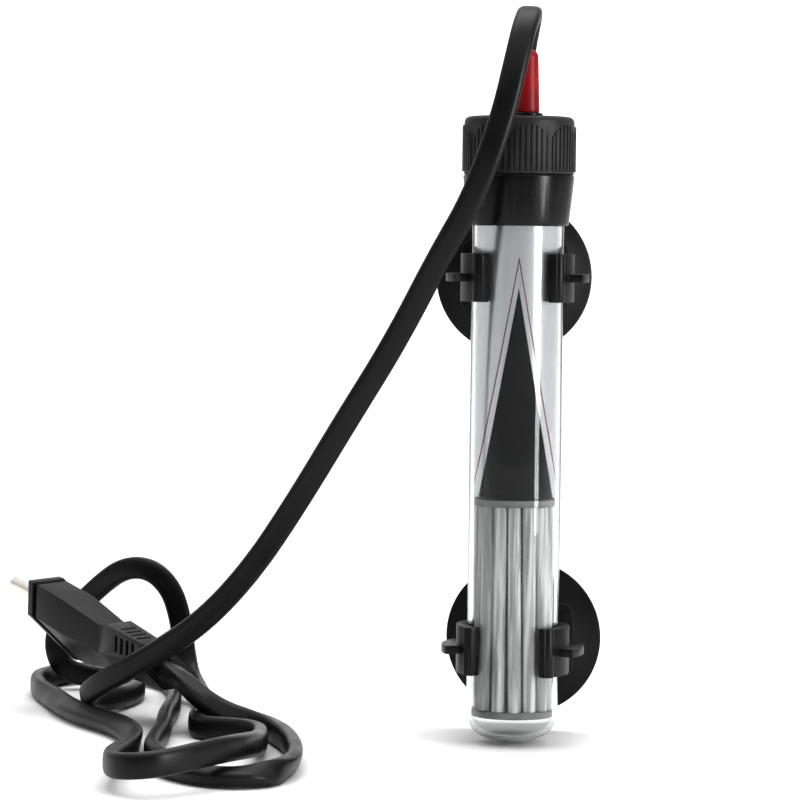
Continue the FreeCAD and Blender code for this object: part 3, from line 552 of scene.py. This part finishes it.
class HEATER_OT_cord(bpy.types.Operator):
    """The flat mains cord, an oval sheath swept along its route"""
    bl_idname = "heater.cord"
    bl_label = "Cord"

    def centreline(self):
        """Points of the smooth line that the route's points control."""
        data = bpy.data.curves.new("cord_line", "CURVE")
        data.dimensions = "3D"
        data.resolution_u = 8
        spline = data.splines.new("NURBS")
        spline.points.add(len(CORD_ROUTE) - 1)
        for point, place in zip(spline.points, CORD_ROUTE):
            point.co = (*[c * MM for c in place], 1)
        spline.order_u = 3
        spline.use_endpoint_u = True
        line = bpy.data.objects.new("cord_line", data)
        mesh = bpy.data.meshes.new_from_object(line)
        points = [v.co.copy() for v in mesh.vertices]
        bpy.data.objects.remove(line)
        bpy.data.curves.remove(data)
        bpy.data.meshes.remove(mesh)
        return points

    def broad_ways(self, points, tangents):
        """The broad side's direction at each point, smoothed and square to the line."""
        ways = []
        last = len(CORD_ROUTE) - 1
        for i in range(len(points)):
            at = min(max(0.5 + i * (last - 1) / (len(points) - 1), 0), last)
            for (a, first), (b, second) in zip(BROAD_SIDE, BROAD_SIDE[1:]):
                if a <= at <= b:
                    t = (at - a) / (b - a)
                    ways.append(Vector(first).lerp(Vector(second), t))
                    break
        for _ in range(TWIST_ROUNDS):
            ways = [(ways[max(i - 1, 0)] + ways[i] + ways[min(i + 1, len(ways) - 1)]) / 3
                    for i in range(len(ways))]
            ways = [(w - t * w.dot(t)).normalized() for w, t in zip(ways, tangents)]
        return ways

    def execute(self, context):
        sizes = context.scene.heater_sizes
        points = self.centreline()
        count = len(points)
        tangents = [(points[min(i + 1, count - 1)] - points[max(i - 1, 0)]).normalized()
                    for i in range(count)]
        ways = self.broad_ways(points, tangents)
        sides, flatness = 32, 0.62
        half_w, half_t = sizes.cord_width / 2, sizes.cord_thickness / 2
        vertices, faces = [], []
        for centre, along, broad in zip(points, tangents, ways):
            narrow = along.cross(broad)
            for k in range(sides):
                a = 2 * math.pi * k / sides
                c, s = math.cos(a), math.sin(a)
                u = math.copysign(abs(c) ** flatness, c) * half_w
                v = math.copysign(abs(s) ** flatness, s) * half_t
                vertices.append(centre + broad * u + narrow * v)
        for i in range(count - 1):
            for k in range(sides):
                j = (k + 1) % sides
                near, far = i * sides, (i + 1) * sides
                faces.append((near + k, near + j, far + j, far + k))
        faces.append(tuple(reversed(range(sides))))
        faces.append(tuple((count - 1) * sides + k for k in range(sides)))
        mesh = bpy.data.meshes.new("cord_sheath")
        mesh.from_pydata(vertices, [], faces)
        obj = bpy.data.objects.new("cord_sheath", mesh)
        context.scene.collection.objects.link(obj)
        pick(obj)
        bpy.ops.object.mode_set(mode="EDIT")
        bpy.ops.mesh.select_all(action="SELECT")
        bpy.ops.mesh.normals_make_consistent(inside=False)
        bpy.ops.object.mode_set(mode="OBJECT")
        bpy.ops.object.shade_smooth_by_angle(angle=math.radians(60))
        colour = context.scene.heater_colours.cord
        dress(obj, material_for("Cord_Sheath", moulded, colour, 0.36, grain=900, depth=0.12),
              "heater")
        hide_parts("power_cord")
        return {"FINISHED"}


class HEATER_OT_plug(bpy.types.Operator):
    """The two-pin plug: a moulded grip, its front slab and the pins"""
    bl_idname = "heater.plug"
    bl_label = "Plug"

    def execute(self, context):
        colour = context.scene.heater_colours.plastic
        plastic = material_for("Plug_Plastic", moulded, shade(colour, 1.3), 0.42, depth=0.2)
        dress(softened("plug_body", "plug_shell", 0.9 * MM, segments=3), plastic, "heater")
        dress(softened("plug_front", "plug_face", 0.8 * MM, segments=3), plastic, "heater")
        pins = bpy.data.objects["plug_pins"]
        pins.data.materials.clear()
        pins.data.materials.append(material_for("Pin_Nickel", metal, (0.78, 0.75, 0.70), 0.3))
        return {"FINISHED"}


# ---- the glass and what it holds -----------------------------------------------------------

def dome(radius, inset, sizes):
    """The closed end as (radius, height) from the wall to the axis."""
    corner = sizes.dome_corner
    a = TUBE_R - corner
    k = sizes.dome_height - corner
    rise = (a * a - k * k) / (2 * k)
    lean = math.atan2(a, rise)
    top = GLASS_BOTTOM + sizes.dome_height
    big = corner - inset + math.hypot(a, rise)
    points = arc((a, top), corner - inset, 0, -90 + math.degrees(lean), 12)
    for i in range(1, 15):
        angle = lean * (1 - i / 15)
        points.append((big * math.sin(angle), top + rise - big * math.cos(angle)))
    return points


class HEATER_OT_glass(bpy.types.Operator):
    """The glass tube with its rounded closed end"""
    bl_idname = "heater.glass"
    bl_label = "Glass Tube"

    def execute(self, context):
        sizes = context.scene.heater_sizes
        outer = dome(TUBE_R, 0, sizes)
        inner = dome(TUBE_R - sizes.glass_wall, sizes.glass_wall, sizes)
        bead = sizes.glass_wall / 2
        lip = arc((TUBE_R - bead, GLASS_TOP - bead), bead, 180, 0, 8)
        outline = [*reversed(inner), *lip, *outer]
        tube = turned("glass_shell", outline, segments=128, smooth=60)
        on_axis(tube)
        dress(tube, material_for("Clear_Glass", clear_glass), "heater")
        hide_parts("glass_tube")
        return {"FINISHED"}


class HEATER_OT_label(bpy.types.Operator):
    """The rolled silver film inside the glass"""
    bl_idname = "heater.label"
    bl_label = "Label Film"

    def execute(self, context):
        inner = LABEL_R - 0.25 * MM
        outline = [(inner, LABEL_LOW[2]), (LABEL_R, LABEL_LOW[2]),
                   (LABEL_R, LABEL_HIGH[2]), (inner, LABEL_HIGH[2])]
        film = turned("label_film", outline, segments=128, closed=True)
        on_axis(film)
        dress(film, label_film(context.scene.heater_colours.label), "heater")
        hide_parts("label_liner")
        return {"FINISHED"}


class HEATER_OT_element(bpy.types.Operator):
    """The bundle of quartz rods that stands round the element"""
    bl_idname = "heater.element"
    bl_label = "Quartz Rods"

    def execute(self, context):
        radius = context.scene.heater_sizes.rod_radius
        circle = (RODS_HIGH[0] - RODS_LOW[0]) / 2 - radius
        random.seed(11)
        low, high = RODS_LOW[2], RODS_HIGH[2]
        count = int(2 * math.pi * circle / ROD_PITCH)
        lip = radius * 0.16
        bore = radius * ROD_BORE
        outline = [(bore, low), *arc((radius - lip, low + lip), lip, -90, 0, 3),
                   *arc((radius - lip, high - lip), lip, 0, 90, 3), (bore, high)]
        rods = [turned("quartz_rod", outline, segments=20, closed=True, smooth=50)]
        for _ in range(1, count):
            copy = rods[0].copy()
            copy.data = rods[0].data.copy()
            context.scene.collection.objects.link(copy)
            rods.append(copy)
        for i, rod in enumerate(rods):
            angle = 2 * math.pi * (i + 0.5) / count
            lean = (Matrix.Rotation(random.uniform(-ROD_LEAN, ROD_LEAN), 4, "X")
                    @ Matrix.Rotation(random.uniform(-ROD_LEAN, ROD_LEAN), 4, "Y"))
            middle = Vector((0, 0, (low + high) / 2))
            place = Matrix.Translation(AXIS + Vector((circle * math.cos(angle),
                                                      circle * math.sin(angle), 0)) + middle)
            put(rod, place @ lean @ Matrix.Translation(-middle))
        deselect()
        for rod in rods:
            rod.select_set(True)
        bpy.context.view_layer.objects.active = rods[0]
        bpy.ops.object.join()
        bundle = rods[0]
        bundle.name = "quartz_bundle"
        dress(bundle, material_for("Quartz", quartz), "heater")
        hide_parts("quartz_rods")
        return {"FINISHED"}


# ---- head, clips and cups --------------------------------------------------------------------

class HEATER_OT_head(bpy.types.Operator):
    """The screw cap, tapered sleeve, knob and its ring"""
    bl_idname = "heater.head"
    bl_label = "Head"

    def execute(self, context):
        colours = context.scene.heater_colours
        width = context.scene.heater_sizes.edge_round
        dress(softened("cap_nut", "screw_cap", width * 0.7),
              material_for("Cap_Satin", moulded, colours.cap, 0.47, depth=0.3), "heater")
        gloss = material_for("Head_Gloss", moulded, colours.plastic, 0.27, depth=0.04)
        dress(softened("head_sleeve", "taper_sleeve", width), gloss, "heater")
        dress(softened("knob_boss", "knob_ring", width), gloss, "heater")
        knob = softened("temperature_knob", "dial_knob", width)
        dress(knob, material_for("Knob_Red", moulded, colours.knob, 0.42, depth=0.03),
              "knob")
        return {"FINISHED"}


class HEATER_OT_clips(bpy.types.Operator):
    """The two clips that hold the tube"""
    bl_idname = "heater.clips"
    bl_label = "Clips"

    def execute(self, context):
        width = context.scene.heater_sizes.edge_round
        plastic = material_for("Clip_Satin", moulded, context.scene.heater_colours.plastic, 0.38)
        for side in ("upper", "lower"):
            dress(softened(f"{side}_clip", f"{side}_holder", width), plastic,
                  f"{side}_clip")
        return {"FINISHED"}


class HEATER_OT_cups(bpy.types.Operator):
    """The two suction cups"""
    bl_idname = "heater.cups"
    bl_label = "Suction Cups"

    def execute(self, context):
        width = context.scene.heater_sizes.edge_round
        rubber = material_for("Cup_Rubber", moulded, context.scene.heater_colours.plastic, 0.42)
        for side in ("upper", "lower"):
            dress(softened(f"{side}_suction_cup", f"{side}_cup_rubber", width), rubber,
                  f"{side}_cup")
        return {"FINISHED"}


class HEATER_OT_carried(bpy.types.Operator):
    """Finishes for the CAD nodes that are kept as they are"""
    bl_idname = "heater.carried"
    bl_label = "Kept Parts"

    def execute(self, context):
        plastic = context.scene.heater_colours.plastic
        finishes = {
            "ceramic": material_for("Steatite", moulded, (0.27, 0.27, 0.26), 0.6),
            "wire": material_for("Heater_Wire", metal, (0.40, 0.38, 0.36), 0.4),
            "board": material_for("Board_Plastic", moulded, (0.55, 0.48, 0.32), 0.5),
            "spring_steel": material_for("Spring_Steel", metal, (0.55, 0.54, 0.52), 0.3),
            "brass": material_for("Brass", metal, (0.70, 0.52, 0.25), 0.3),
            "copper": material_for("Copper", metal, (0.72, 0.36, 0.22), 0.35),
            "magnet": material_for("Magnet", metal, (0.35, 0.35, 0.37), 0.3),
            "capacitor": material_for("Capacitor_Dip", moulded, (0.05, 0.12, 0.40), 0.3),
            "lamp": material_for("Lamp_Glass", clear_glass, (1.0, 0.62, 0.40)),
            "soft": material_for("Gland_Rubber", moulded, plastic, 0.5),
        }
        for part in frame["record"]["subparts"]:
            finish = finishes.get(part["material_slot"])
            if finish:
                node = bpy.data.objects[part["node"]]
                node.data.materials.clear()
                node.data.materials.append(finish)
        return {"FINISHED"}


class HEATER_PT_parts(bpy.types.Panel):
    """Buttons for each piece of the heater"""
    bl_idname = "HEATER_PT_parts"
    bl_label = "Aquarium Heater"
    bl_space_type = "VIEW_3D"
    bl_region_type = "UI"
    bl_category = "Heater"

    def draw(self, context):
        for group in (context.scene.heater_sizes, context.scene.heater_colours):
            for key in group.__annotations__:
                self.layout.prop(group, key)
        for operator in OPERATORS:
            self.layout.operator(operator.bl_idname)


OPERATORS = (
    HEATER_OT_stage, HEATER_OT_plug, HEATER_OT_cord, HEATER_OT_glass, HEATER_OT_label,
    HEATER_OT_element, HEATER_OT_head, HEATER_OT_clips, HEATER_OT_cups, HEATER_OT_carried,
)
CLASSES = (HeaterSizes, HeaterColours, *OPERATORS, HEATER_PT_parts)


def register():
    for cls in CLASSES:
        bpy.utils.register_class(cls)
    bpy.types.Scene.heater_sizes = bpy.props.PointerProperty(type=HeaterSizes)
    bpy.types.Scene.heater_colours = bpy.props.PointerProperty(type=HeaterColours)


def unregister():
    del bpy.types.Scene.heater_colours
    del bpy.types.Scene.heater_sizes
    for cls in reversed(CLASSES):
        bpy.utils.unregister_class(cls)


def main():
    register()
    bpy.ops.heater.stage()
    bpy.ops.heater.plug()
    bpy.ops.heater.cord()
    bpy.ops.heater.glass()
    bpy.ops.heater.label()
    bpy.ops.heater.element()
    bpy.ops.heater.head()
    bpy.ops.heater.clips()
    bpy.ops.heater.cups()
    bpy.ops.heater.carried()


if __name__ == "__main__":
    main()
